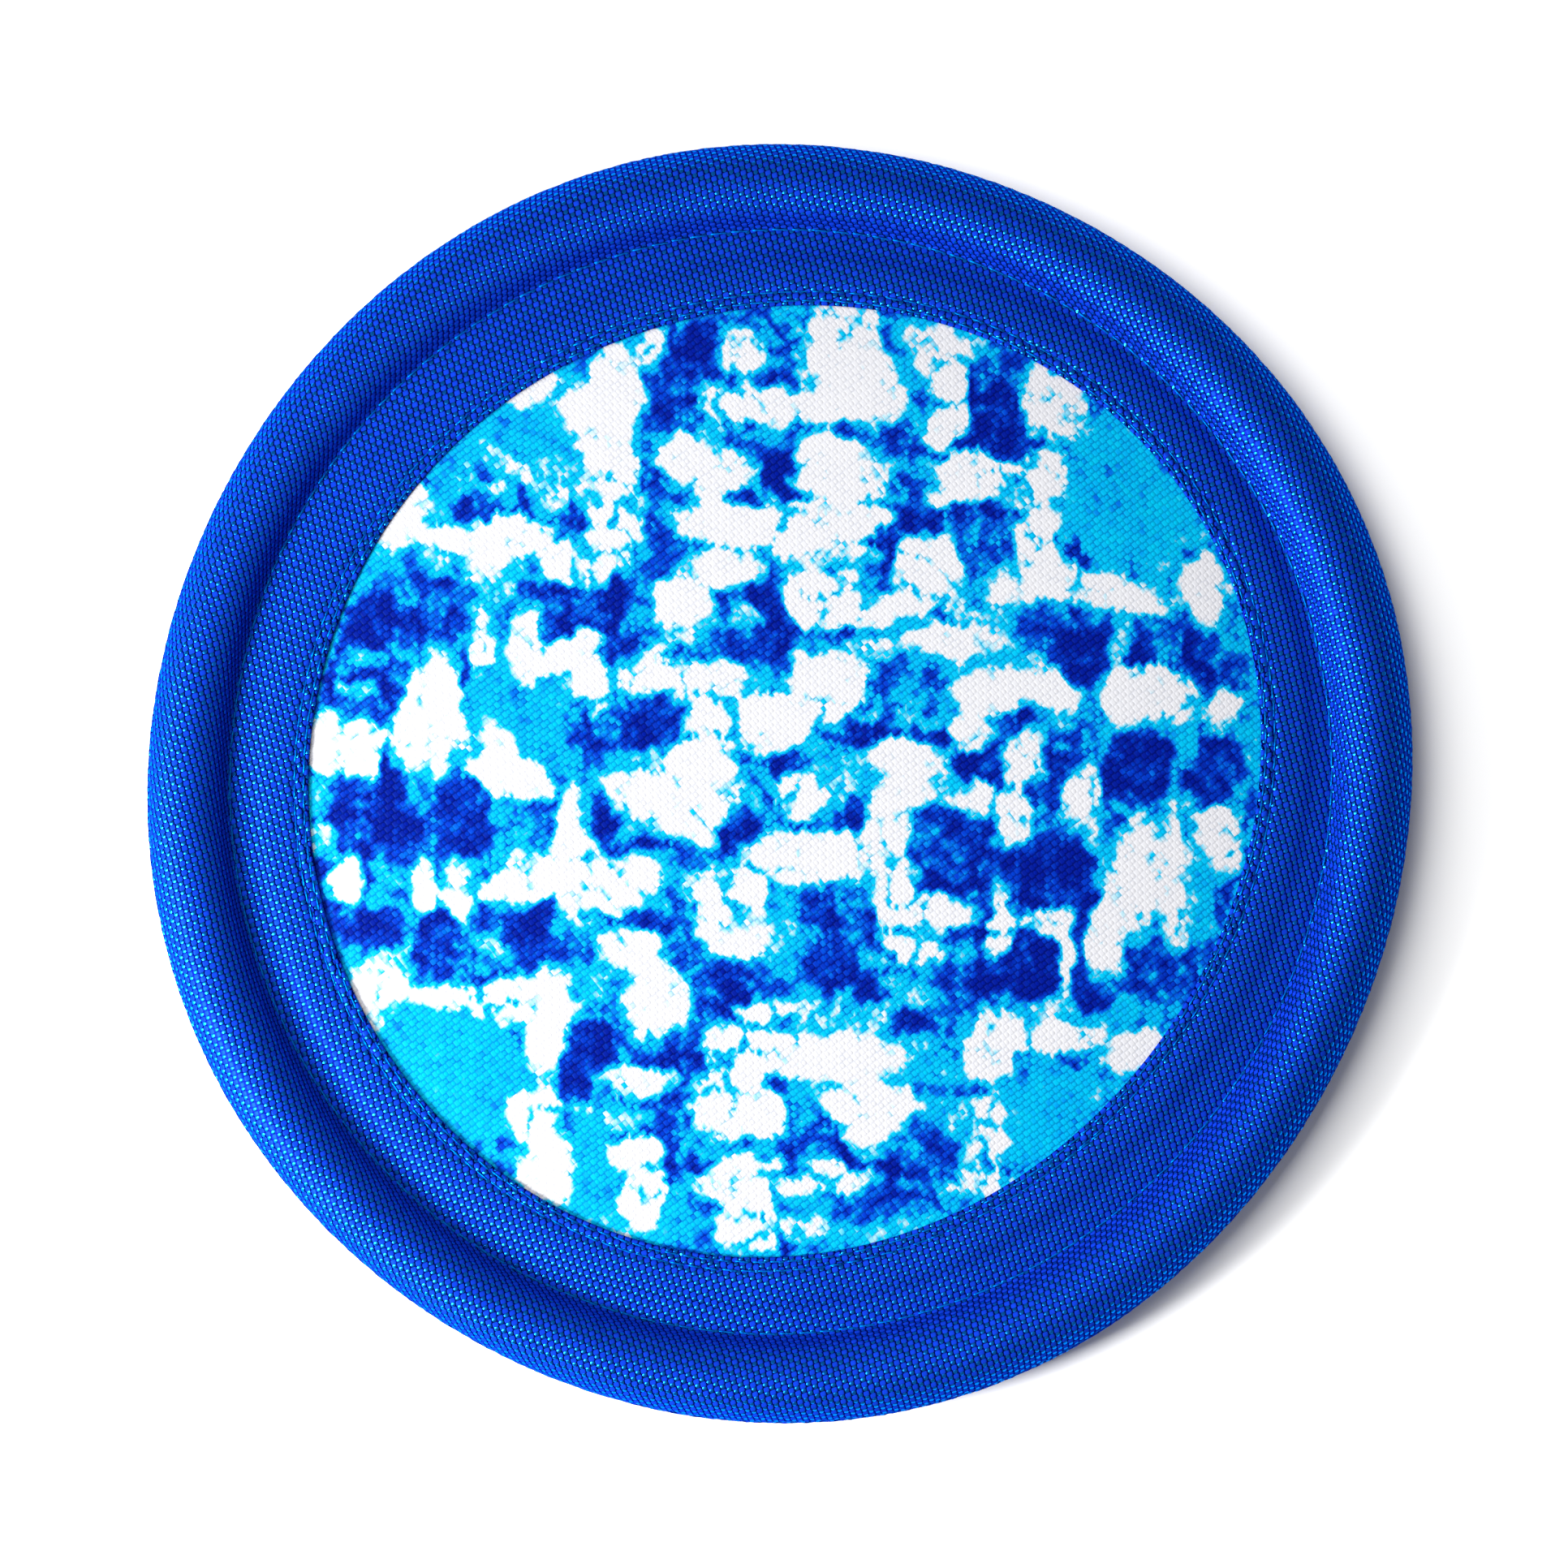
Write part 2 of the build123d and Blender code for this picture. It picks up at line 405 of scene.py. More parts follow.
# ---------------------------------------------------------------------------------------------
# Foam cord and its tape
# ---------------------------------------------------------------------------------------------
DENT_SIZE = 5 * MM                                 # width of the dents in the foam and the tape


def cord_surface(theta, radius, dents, seed, sides):
    """Points of a cord round the rim at the given section radius; dents is their depth, as a share."""
    phi = np.arange(sides) * TURN / sides
    rim, wide = outline(theta)[:, None], half_rim(theta)[:, None]
    size = radius * (1 + dents * noise(theta[:, None] * OUTER, phi[None] * WRAP, DENT_SIZE, seed))
    reach = rim - wide + size * (wide / WRAP) * np.cos(phi)[None]
    z = MIDDLE + size * np.sin(phi)[None]
    return np.stack([reach * np.cos(theta)[:, None], reach * np.sin(theta)[:, None], z], -1)


def make_core(name, material):
    """Foam cord bent into a hoop, its two ends butted."""
    gap = radians(0.12)                                    # half the gap between the ends
    rows, sides = 720, 40
    theta = JOINT + gap + np.linspace(0, TURN - 2 * gap, rows)
    verts = cord_surface(theta, CORE * 0.99, 0.008, 51, sides).reshape(-1, 3).tolist()
    faces = ring_faces(rows, sides)[: (rows - 1) * sides].tolist()
    faces.append(list(range(sides)))
    faces.append([(rows - 1) * sides + k for k in range(sides)][::-1])
    return make_object(name, verts, faces, material)


def make_tape(name, material):
    """Tape wrapped round the cord over its joint, a closed sleeve with creases."""
    rows, sides = 60, 64
    theta = JOINT + np.linspace(-TAPE_HALF, TAPE_HALF, rows)
    outer = cord_surface(theta, CORE + 0.13 * MM, 0.004, 61, sides)
    inner = cord_surface(theta, CORE + 0.01 * MM, 0.0, 61, sides)[::-1]
    verts = np.concatenate([outer, inner]).reshape(-1, 3).tolist()
    faces = ring_faces(2 * rows, sides).tolist()
    return make_object(name, verts, faces, material)


# ---------------------------------------------------------------------------------------------
# Printed centre panel: one quad for each crossing of two yarns
# ---------------------------------------------------------------------------------------------
# Dye strokes, laid on in this order: (x mm, y mm, half length mm, half width mm, turn degrees). Each group
# has the strength of dye that it leaves, from 0, white, to 1, navy, and how many mm its strokes spread.
WINDOW = 0.44                                      # strength of the windows, which stay free of creases
STROKES = [
    (0.66, 0.2, [  # blue grounds
        (-58, 27, 10, 5, 0), (-34, 27, 9, 4, 0), (-16, 63, 6, 9, 0), (-19, 42, 4, 8, 0),
        (-20, 31, 6, 3, 0), (-63, -5, 9, 7, 0), (-38, -3, 4, 4, 0), (-33, -27, 4, 3, 0),
        (-18, -53, 4, 8, 0), (-27, -66, 3, 2, 0), (20, 55, 5, 4, 0), (23, 45, 4, 4, 0),
        (33, 39, 7, 5, 0), (35, 62, 5, 9, 0), (44, 25, 7, 4, 0), (36, -12, 3, 3, 0), (26, -35, 4, 5, 0),
        (60, -31, 6, 4, 0), (24, -60, 4, 5, 0), (-2, 24, 6, 5, 0), (14, -66, 8, 5, 0),
        (-16, 7, 3, 3, 0), (-64, 12, 3, 4, 0), (31, -14, 6, 6, 0), (-16, -44, 4, 3, 0)
    ]),
    (WINDOW, 0.0, [  # plain cyan windows
        (-45, 56, 15, 9, 15), (56, 47, 11, 12, 0), (-52, -46, 14, 11, -40), (42, -54, 10, 9, 0),
        (-42, 11, 9, 8, 0), (-30, -62, 4, 8, 0), (-15, -70, 3, 4, 0), (65, -17, 5, 8, 0),
        (63, 6, 4, 5, 0), (53, -40, 3, 3, 0), (5, -67, 5, 2, 0), (30, 19, 8, 2, 0), (6, -49, 4, 3, 0),
        (-56, -19, 2, 3, 0)
    ]),
    (0.88, -0.2, [  # navy patches
        (-65, 26, 5, 5, 0), (-27, 28, 3, 4, 0), (-62, 0, 3, 4, 0), (-20, 58, 3, 3, 0),
        (-13, 70, 3, 3, 0), (-7, 65, 7, 1, 0), (-3, 53, 5, 2, -20), (0, 50, 3, 4, 0),
        (-12, 32, 8, 1, -5), (-2, 29, 4, 3, 0), (-18, 14, 4, 3, 0), (-20, 9, 6, 3, 30),
        (-2, 22, 4, 3, 0), (36, 60, 3, 6, 0), (38, 54, 5, 3, 0), (17, 38, 5, 2, 0), (22, 42, 3, 2, 0),
        (3, 46, 3, 2, 0), (28, 43, 6, 1, 0), (48, 20, 6, 5, 0), (57, 20, 3, 6, 0), (68, 19, 3, 6, 0),
        (57, 3, 5, 6, 0), (70, 3, 4, 6, 0), (44, 0, 3, 5, 0), (32, 3, 5, 4, 0), (14, 7, 4, 3, 0),
        (-61, -7, 4, 5, 0), (-50, -6, 4, 7, 0), (-28, -4, 2, 5, 0), (-21, -10, 7, 1, -8),
        (-7, -8, 4, 3, 0), (12, -6, 3, 3, 0), (-66, -23, 6, 4, 0), (-55, -25, 4, 5, 0),
        (-40, -24, 5, 6, 0), (-20, -21, 2, 3, 0), (-9, -31, 3, 4, 0), (-31, -42, 5, 5, 0),
        (-32, -49, 3, 4, 0), (-25, -50, 3, 2, 0), (-14, -61, 6, 1, 0), (0, -59, 4, 1, 25),
        (8, -29, 4, 5, 0), (14, -33, 3, 2, 0), (20, -38, 4, 2, 0), (24, -18, 3, 3, 0),
        (43, -14, 7, 6, 0), (33, -18, 3, 5, 0), (41, -30, 6, 5, 0), (50, -33, 4, 4, 0),
        (33, -31, 7, 3, 0), (49, -22, 2, 7, 0), (38, -22, 1, 4, 0), (58, -25, 3, 3, 0),
        (56, -2, 4, 3, 0), (69, -1, 4, 4, 0), (24, -6, 3, 2, 0), (22, -50, 3, 1, 0), (17, -61, 5, 2, 0),
        (10, -59, 6, 1, -18), (6, -22, 4, 2, 0)
    ]),
    (0.0, 0.6, [  # tied knots that stayed white
        (-26, 63, 4, 8, 0), (-31, 60, 4, 4, 0), (-20, 69, 2, 2, 0), (-27, 51, 4, 4, 0),
        (-26, 40, 4, 7, 0), (-47, 39, 9, 3, 0), (-60, 42, 4, 5, 0), (-44, 50, 4, 3, 0),
        (-40, 64, 3, 2, 0), (-34, 35, 4, 3, 0), (-48, 22, 2, 5, 0), (-40, 22, 2, 5, 0),
        (-34, 21, 4, 2, 20), (-30, 17, 2, 5, 0), (-59, 9, 2, 8, 0), (-54, 11, 3, 8, 0),
        (-67, 5, 4, 4, 0), (-73, 6, 2, 4, 0), (-46, 3, 3, 5, 0), (-42, 0, 4, 3, 0), (-6, 68, 3, 3, 0),
        (-5, 60, 8, 3, -10), (-12, 50, 7, 4, 0), (-8, 42, 8, 4, 0), (-9, 34, 5, 2, 0),
        (-15, 29, 4, 3, 0), (-20, 18, 5, 3, 0), (-12, 17, 5, 4, 0), (-4, 9, 9, 4, 0), (-13, 2, 4, 4, 0),
        (11, 70, 5, 6, 0), (9, 61, 6, 5, 0), (16, 64, 3, 4, 0), (25, 68, 4, 4, 0), (27, 60, 3, 6, 0),
        (43, 60, 4, 6, 0), (10, 50, 7, 5, 0), (14, 44, 3, 4, 0), (42, 49, 3, 4, 0), (31, 50, 6, 2, 0),
        (29, 46, 5, 2, 0), (6, 40, 9, 4, 0), (42, 38, 3, 7, 0), (48, 32, 5, 2, 0), (55, 30, 6, 2, -10),
        (68, 30, 3, 5, 0), (24, 35, 5, 5, 0), (20, 28, 7, 2, 15), (37, 31, 3, 1, 0), (7, 29, 5, 5, 0),
        (26, 22, 6, 2, 0), (8, 16, 6, 6, 0), (35, 14, 7, 4, 0), (44, 14, 4, 3, 0), (55, 13, 3, 4, 0),
        (62, 14, 4, 4, 0), (71, 12, 3, 2, 30), (30, 8, 3, 2, 0), (39, 3, 3, 4, 0), (48, -3, 3, 4, 0),
        (20, 3, 5, 3, 0), (-69, -15, 3, 2, 30), (-57, -16, 2, 4, 0), (-51, -17, 2, 4, 0),
        (-40, -16, 7, 3, 0), (-27, -17, 8, 4, 10), (-22, -2, 6, 3, -15), (-14, -6, 5, 4, 0),
        (-34, -7, 2, 5, 0), (3, -2, 4, 4, 0), (4, -12, 9, 4, 0), (-8, -18, 5, 5, 0), (-8, -24, 6, 4, 0),
        (-23, -26, 4, 3, 5), (-64, -33, 4, 4, 0), (-66, -38, 3, 3, 0), (-52, -34, 7, 2, 0),
        (-44, -35, 6, 3, 0), (-37, -38, 3, 7, 0), (-20, -34, 6, 5, 0), (-39, -53, 4, 4, 0),
        (-37, -62, 4, 5, 0), (-22, -48, 4, 2, 0), (-23, -59, 4, 2, 0), (-22, -66, 4, 4, 0),
        (-6, -43, 6, 4, -20), (-7, -52, 7, 5, 0), (-5, -64, 6, 3, 0), (-5, -71, 6, 4, 0),
        (37, -6, 3, 3, 0), (57, -15, 3, 8, 0), (63, -15, 2, 9, 0), (70, -9, 3, 4, 0), (17, -8, 3, 6, 0),
        (22, -2, 6, 2, 0), (31, -3, 2, 3, 0), (18, -20, 3, 5, 0), (25, -22, 4, 3, 0),
        (21, -27, 4, 2, 0), (35, -22, 2, 5, 0), (43, -23, 4, 2, 0), (46, -28, 1, 4, 0),
        (52, -23, 2, 7, 0), (34, -42, 4, 5, 0), (44, -41, 7, 2, 0), (57, -43, 4, 3, 20),
        (33, -54, 3, 4, 0), (31, -62, 3, 4, 0), (8, -44, 10, 3, 0), (14, -52, 7, 4, 0),
        (8, -63, 6, 2, 0), (-2, -36, 4, 2, 0)
    ]),
    (0.22, 0.0, [  # half-dyed clouds
        (-35, 48, 5, 4, 0), (-47, 50, 6, 2, 30), (14, 22, 5, 3, 0), (54, 22, 2, 4, 0),
        (-45, -26, 3, 2, 0), (-25, -53, 5, 2, 0), (20, -32, 4, 3, 0), (49, -50, 2, 2, 0),
        (6, -38, 5, 2, 0), (14, -38, 4, 2, 0), (-68, 14, 3, 2, 0), (41, -37, 3, 1, 0),
        (5, -70, 3, 2, 0), (26, -65, 3, 1, 0), (-5, 27, 3, 2, 0)
    ]),
    (0.85, 0.0, [  # thin veins where the dye ran along folds
        (10, 56, 6, 0.7, 0), (-1, 64, 5, 0.8, 0), (30, 53, 9, 0.7, 0), (2, 4, 6, 0.7, 0),
        (10, 24, 8, 0.6, 0), (4, -7, 4, 0.7, 0), (30, -25, 4, 0.7, 0), (31, -50, 3, 0.7, 0),
        (-50, 18, 0.7, 5, 0), (-24, -22, 6, 0.6, 0), (-14, 21, 6, 0.6, 0), (-6, 45, 3, 0.9, 0),
        (-15, 60, 3, 1.2, 0), (24, 7, 4, 1, 0), (38, 9, 3, 1.2, 0), (-66, -14, 0.8, 3, 0)
    ]),
]


def knots(x, y, size, seed):
    """How far a point is from the border between two of the cells round scattered points, in cells."""
    jitter = np.random.default_rng(seed).uniform(0.1, 0.9, (64, 64, 2))
    gx, gy = x / size, y / size
    ix, iy = np.floor(gx).astype(int), np.floor(gy).astype(int)
    away = []
    for dx in (-1, 0, 1):
        for dy in (-1, 0, 1):
            point = jitter[(ix + dx) & 63, (iy + dy) & 63]
            away.append(np.hypot(gx - ix - dx - point[..., 0], gy - iy - dy - point[..., 1]))
    nearest = np.sort(np.stack(away), 0)
    return nearest[1] - nearest[0]


def layers(x, y, terms, first_seed):
    """Sum of noises: (height, width of its bumps in mm)."""
    return sum(height * noise(x, y, cell, first_seed + k) for k, (height, cell) in enumerate(terms))


def dye_field(x, y):
    """Strength of dye at points of the panel, in metres."""
    x, y = x / MM, y / MM
    bends = ((1.2, 6.0), (0.9, 2.6), (0.6, 1.3))           # how far the strokes' edges stray, in mm
    wx, wy = x + layers(x, y, bends, 101), y + layers(x, y, bends, 104)
    soft = 0.9 + 0.6 * noise(x, y, 5.0, 111)               # half width of a stroke's edge
    dye, plain = 0.46 + 0.20 * noise(x, y, 8.0, 107), 0 * x
    for strength, swell, strokes in STROKES:
        for sx, sy, long, short, turn in strokes:
            c, s = cos(radians(turn)), sin(radians(turn))
            dx, dy = wx - sx, wy - sy
            far = np.sqrt(((dx * c + dy * s) / long) ** 2 + ((dy * c - dx * s) / short) ** 2)
            past_edge = (far - 1) * min(long, short) - swell
            cover = 1 - step(-soft, soft, past_edge)
            dye = dye + (strength - dye) * cover
            plain = plain + ((strength == WINDOW) - plain) * cover
    crease = 1 - step(0.03, 0.24, knots(wx, wy * 1.3, 8.0, 113))
    dye = dye + 0.42 * (1 - plain) * crease * np.clip(0.5 + 0.9 * noise(x, y, 9.0, 114), 0, 1)
    blotches = 0.13 * noise(x, y, 3.6, 112) + 0.17 * noise(x, y, 1.8, 109) + 0.15 * noise(x, y, 0.9, 110)
    return dye + blotches * (1 - 0.7 * plain) * np.clip(0.4 + 1.3 * dye, 0, 1)


PANEL_STRAY, PANEL_STRAY_SIZE = 0.30 * MM, 16 * MM     # how far the panel's yarns stray from straight
PANEL_WAVE, PANEL_WAVE_SIZE = 0.10 * MM, 22 * MM       # unevenness of the panel, in its opening
PANEL_TRIM = 0.55 * MM                                 # a crossing this near the cut edge is left out
PANEL_SKIN = 0.01 * MM                                 # room between the panel and the covers' cloth


def make_panel(name, material):
    """Upper and under face of the panel, yarn by yarn, joined by a band along the cut edge."""
    a, b = radians(PANEL_CLOTH["a_way"] - 90), radians(PANEL_CLOTH["b_way"] - 90)
    to_yarns = np.array([[cos(a), sin(a)], [cos(b), sin(b)]])
    to_yarns /= np.array([[PANEL_CLOTH["a_gap"]], [PANEL_CLOTH["b_gap"]]])
    to_cloth = np.linalg.inv(to_yarns)
    reach = int(PANEL / PANEL_CLOTH["a_gap"]) + 12
    i, j = np.meshgrid(np.arange(-reach, reach + 1), np.arange(-reach, reach + 1), indexing="ij")
    x = to_cloth[0, 0] * i + to_cloth[0, 1] * j
    y = to_cloth[1, 0] * i + to_cloth[1, 1] * j
    x = x + PANEL_STRAY * noise(x, y, PANEL_STRAY_SIZE, 71)
    y = y + PANEL_STRAY * noise(x, y, PANEL_STRAY_SIZE, 72)

    def middle(f):
        return (f[:-1, :-1] + f[1:, :-1] + f[1:, 1:] + f[:-1, 1:]) / 4

    keep = np.hypot(middle(x), middle(y)) < PANEL - PANEL_TRIM
    side = i.shape[1]
    corner = (np.arange(side - 1)[:, None] * side + np.arange(side - 1)[None, :])[keep]
    quads = np.stack([corner, corner + side, corner + side + 1, corner + 1], -1)
    used, quads = np.unique(quads, return_inverse=True)
    quads = quads.reshape(-1, 4)
    x, y = x.ravel()[used], y.ravel()[used]
    u, v = i.ravel()[used], j.ravel()[used]
    far = np.maximum(np.hypot(x, y) / PANEL, 1)
    x, y = x / far, y / far
    free = 1 - step(HEM - 6 * MM, HEM - 1 * MM, np.hypot(x, y))
    z = MIDDLE + dome(np.hypot(x, y)) + free * PANEL_WAVE * noise(x, y, PANEL_WAVE_SIZE, 73)
    top = np.stack([x, y, z + CLOTH / 2 - PANEL_SKIN], -1)
    under = np.stack([x, y, z - CLOTH / 2 + PANEL_SKIN], -1)
    if np.linalg.det(to_cloth) < 0:
        quads = quads[:, ::-1]
    edges = np.concatenate([quads[:, [k, (k + 1) % 4]] for k in range(4)])
    key = np.sort(edges, 1)
    _, first, times = np.unique(key, axis=0, return_index=True, return_counts=True)
    border = edges[first[times == 1]]
    n = len(x)
    band = np.stack([border[:, 0], border[:, 0] + n, border[:, 1] + n, border[:, 1]], -1)
    faces = np.concatenate([quads, quads[:, ::-1] + n, band])
    piece = make_object(name, np.concatenate([top, under]).tolist(), faces.tolist(), material)
    yarns = np.stack([u, v, 0 * u], -1).astype(float)
    add_attribute(piece, "weave", "FLOAT_VECTOR", "POINT", np.concatenate([yarns, yarns]))
    dye = dye_field(x, y)
    add_attribute(piece, "dye", "FLOAT", "POINT", np.concatenate([dye, dye]))
    add_attribute(piece, "back", "FLOAT", "FACE", np.repeat([0, 1, 1], [len(quads), len(quads), len(band)]))
    return piece


# ---------------------------------------------------------------------------------------------
# Materials
# ---------------------------------------------------------------------------------------------
class Num:
    """A number in a node tree. Arithmetic on it adds Math nodes."""

    def __init__(self, tree, socket):
        self.tree, self.socket = tree, socket

    def do(self, operation, *others):
        node = self.tree.nodes.new("ShaderNodeMath")
        node.operation = operation
        for slot, value in zip(node.inputs, (self, *others)):
            if isinstance(value, Num):
                self.tree.links.new(value.socket, slot)
            else:
                slot.default_value = value
        return Num(self.tree, node.outputs[0])

    def __add__(self, other):
        return self.do("ADD", other)

    def __sub__(self, other):
        return self.do("SUBTRACT", other)

    def __mul__(self, other):
        return self.do("MULTIPLY", other)

    def pick(self, yes, no):
        """yes where this is 1, no where it is 0; both are Nums, or both are numbers."""
        return self * (yes - no) + no


def vector(tree, operation, *values, scale=None):
    """One vector operation. Values are sockets or triples."""
    node = tree.nodes.new("ShaderNodeVectorMath")
    node.operation = operation
    for slot, value in zip(node.inputs, values):
        if isinstance(value, tuple):
            slot.default_value = value
        else:
            tree.links.new(value, slot)
    if scale is not None:
        tree.links.new(scale.socket, node.inputs["Scale"])
    return node.outputs["Value" if operation == "DOT_PRODUCT" else "Vector"]


def weave_group(name, cloth, facing, relief):
    """Plain weave of round yarns, worked out from the yarn counts in the mesh's "weave" attribute.
    Gives the surface normal, the height of the yarn (0 in the gaps, 1 at an a float's crown), which set
    is on top, a random number for each float and the direction across its filaments. facing is -1 for
    cloth whose outer face looks down; relief scales its slopes."""
    tree = bpy.data.node_groups.new(name, "ShaderNodeTree")
    for label, kind in (("Normal", "Vector"), ("Crown", "Float"), ("A on top", "Float"),
                        ("Random", "Float"), ("Across", "Vector")):
        tree.interface.new_socket(label, in_out="OUTPUT", socket_type="NodeSocket" + kind)
    link = tree.links.new
    source = tree.nodes.new("ShaderNodeAttribute")
    source.attribute_name = "weave"
    parts = tree.nodes.new("ShaderNodeSeparateXYZ")
    link(source.outputs["Vector"], parts.inputs[0])
    u, v = Num(tree, parts.outputs[0]), Num(tree, parts.outputs[1])

    across, along = u.do("FRACT") - 0.5, v.do("FRACT") - 0.5
    row, column = u.do("FLOOR"), v.do("FLOOR")
    b_cell = (row + column).do("PINGPONG", 1.0)        # 0 where an a yarn floats, 1 where a b yarn does
    from_a = across - b_cell * across.do("SIGN")       # place across the nearest a float

    def flat_top(place, half):
        """Flat-topped section: fourth power of a place over its half width, and that power's slope."""
        cube = place * place * place
        return cube * place * half**-4, cube * (4 * half**-4)

    side_a, side_slope_a = flat_top(from_a, A_HALF_WIDTH)
    end_a, end_slope_a = flat_top(along, A_HALF_LENGTH)
    top_a = (side_a + end_a) * -A_CROWN + A_CROWN
    fall_b, bow_b = -B_ROUND / B_HALF_WIDTH**2, -B_BOW / B_HALF_LENGTH**2
    off_crest = across + B_LEAN
    top_b = (along * along * fall_b + off_crest * off_crest * bow_b + B_CROWN) * b_cell
    a_on_top = top_a.do("GREATER_THAN", top_b)
    height = top_a.do("MAXIMUM", top_b)
    on_yarn = height.do("GREATER_THAN", 0.0)

    du = a_on_top.pick(side_slope_a * -A_CROWN, off_crest * (2 * bow_b)) * on_yarn
    dv = a_on_top.pick(end_slope_a * -A_CROWN, along * (2 * fall_b)) * on_yarn
    du, dv = du * (relief / cloth["a_gap"]), dv * (relief / cloth["b_gap"])
    a, b = radians(cloth["a_way"] - 90), radians(cloth["b_way"] - 90)
    slope = tree.nodes.new("ShaderNodeCombineXYZ")
    link((du * cos(a) + dv * cos(b)).socket, slope.inputs[0])
    link((du * sin(a) + dv * sin(b)).socket, slope.inputs[1])
    yarn = tree.nodes.new("ShaderNodeCombineXYZ")
    link(a_on_top.pick(cos(a), cos(b)).socket, yarn.inputs[0])
    link(a_on_top.pick(sin(a), sin(b)).socket, yarn.inputs[1])

    place = tree.nodes.new("ShaderNodeNewGeometry")
    flat = vector(tree, "MULTIPLY", place.outputs["Position"], (1.0, 1.0, 0.0))
    outward = vector(tree, "NORMALIZE", flat)
    around = vector(tree, "CROSS_PRODUCT", (0.0, 0.0, 1.0), outward)
    down = vector(tree, "CROSS_PRODUCT", around, place.outputs["Normal"])
    down = vector(tree, "MULTIPLY", down, (facing, facing, facing))

    def on_surface(flat_vector):
        part_out = Num(tree, vector(tree, "DOT_PRODUCT", flat_vector, outward))
        part_round = Num(tree, vector(tree, "DOT_PRODUCT", flat_vector, around))
        return vector(tree, "ADD", vector(tree, "SCALE", down, scale=part_out),
                      vector(tree, "SCALE", around, scale=part_round))

    bent = vector(tree, "SUBTRACT", place.outputs["Normal"], on_surface(slope.outputs[0]))
    chance = tree.nodes.new("ShaderNodeTexWhiteNoise")
    chance.noise_dimensions = "2D"
    cell = tree.nodes.new("ShaderNodeCombineXYZ")
    link((row + 0.5).socket, cell.inputs[0])
    link((column + 0.5).socket, cell.inputs[1])
    link(cell.outputs[0], chance.inputs["Vector"])

    out = tree.nodes.new("NodeGroupOutput")
    link(vector(tree, "NORMALIZE", bent), out.inputs["Normal"])
    link((height * (1 / A_CROWN)).do("MAXIMUM", 0.0).socket, out.inputs["Crown"])
    link(a_on_top.socket, out.inputs["A on top"])
    link(chance.outputs["Value"], out.inputs["Random"])
    link(on_surface(yarn.outputs[0]), out.inputs["Across"])
    return tree


def new_material(name, roughness, tint, level=0.5):
    """A material with one Principled shader, its constants set on the shader."""
    material = bpy.data.materials.new(name)
    material.use_nodes = True
    shader = material.node_tree.nodes["Principled BSDF"]
    shader.inputs["Roughness"].default_value = roughness
    shader.inputs["Specular Tint"].default_value = (*tint, 1)
    shader.inputs["Specular IOR Level"].default_value = level
    return material, material.node_tree, shader


def ramp(tree, value, stops):
    """Colour ramp through (position, (r, g, b)) stops."""
    node = tree.nodes.new("ShaderNodeValToRGB")
    bar = node.color_ramp.elements
    while len(bar) < len(stops):
        bar.new(0.5)
    for element, (position, colour) in zip(bar, stops):
        element.position, element.color = position, (*colour, 1)
    tree.links.new(value.socket, node.inputs[0])
    return node.outputs[0]


def mix(tree, share, one, two, kind="MIX"):
    """Mix of two colours, each a socket or a triple. share is a Num."""
    node = tree.nodes.new("ShaderNodeMix")
    node.data_type, node.blend_type = "RGBA", kind
    tree.links.new(share.socket, node.inputs["Factor"])
    for slot, value in ((node.inputs[6], one), (node.inputs[7], two)):
        if isinstance(value, tuple):
            slot.default_value = (*value, 1)
        else:
            tree.links.new(value, slot)
    return node.outputs[2]


def attribute(tree, name):
    node = tree.nodes.new("ShaderNodeAttribute")
    node.attribute_name = name
    return Num(tree, node.outputs["Fac"])


def blue_cloth(name, cloth, facing):
    """Royal blue filament cloth: soft blue floats of the a yarns, small shiny ones of the b yarns. Their
    colour is painted darker down into the gaps between floats, as painted shade.
    """
    material, tree, shader = new_material(name, 0.4, (0.0, 0.45, 0.9), level=0.0)
    weave = tree.nodes.new("ShaderNodeGroup")
    weave.node_tree = weave_group(name + "_weave", cloth, facing, 1.0)
    crown = Num(tree, weave.outputs["Crown"])
    # Painted shade: both ramps go from near black in the gaps between floats up to the yarn's own blue at
    # its crown.
    a_colour_and_gap_shade = ramp(tree, crown, [
        (0.0, (0.001, 0.002, 0.09)),
        (0.2, (0.001, 0.010, 0.20)),
        (0.5, (0.004, 0.031, 0.41)),
        (1.0, (0.004, 0.036, 0.47)),
    ])
    b_colour_and_gap_shade = ramp(tree, crown, [
        (0.0, (0.001, 0.002, 0.09)),
        (0.2, (0.001, 0.03, 0.24)),
        (0.4, (0.006, 0.20, 0.80)),
    ])
    a_on_top = Num(tree, weave.outputs["A on top"])
    base = mix(tree, a_on_top, b_colour_and_gap_shade, a_colour_and_gap_shade)
    base = mix(tree, Num(tree, weave.outputs["Random"]) * 0.3, base, (0.5, 0.5, 0.6), kind="MULTIPLY")
    tree.links.new(base, shader.inputs["Base Color"])
    tree.links.new(a_on_top.pick(0.23, 0.95).socket, shader.inputs["Metallic"])
    tree.links.new(a_on_top.pick(0.42, 0.29).socket, shader.inputs["Roughness"])
    tree.links.new(weave.outputs["Normal"], shader.inputs["Normal"])
    tree.links.new(weave.outputs["Across"], shader.inputs["Tangent"])
    shader.inputs["Anisotropic"].default_value = 0.6
    return material


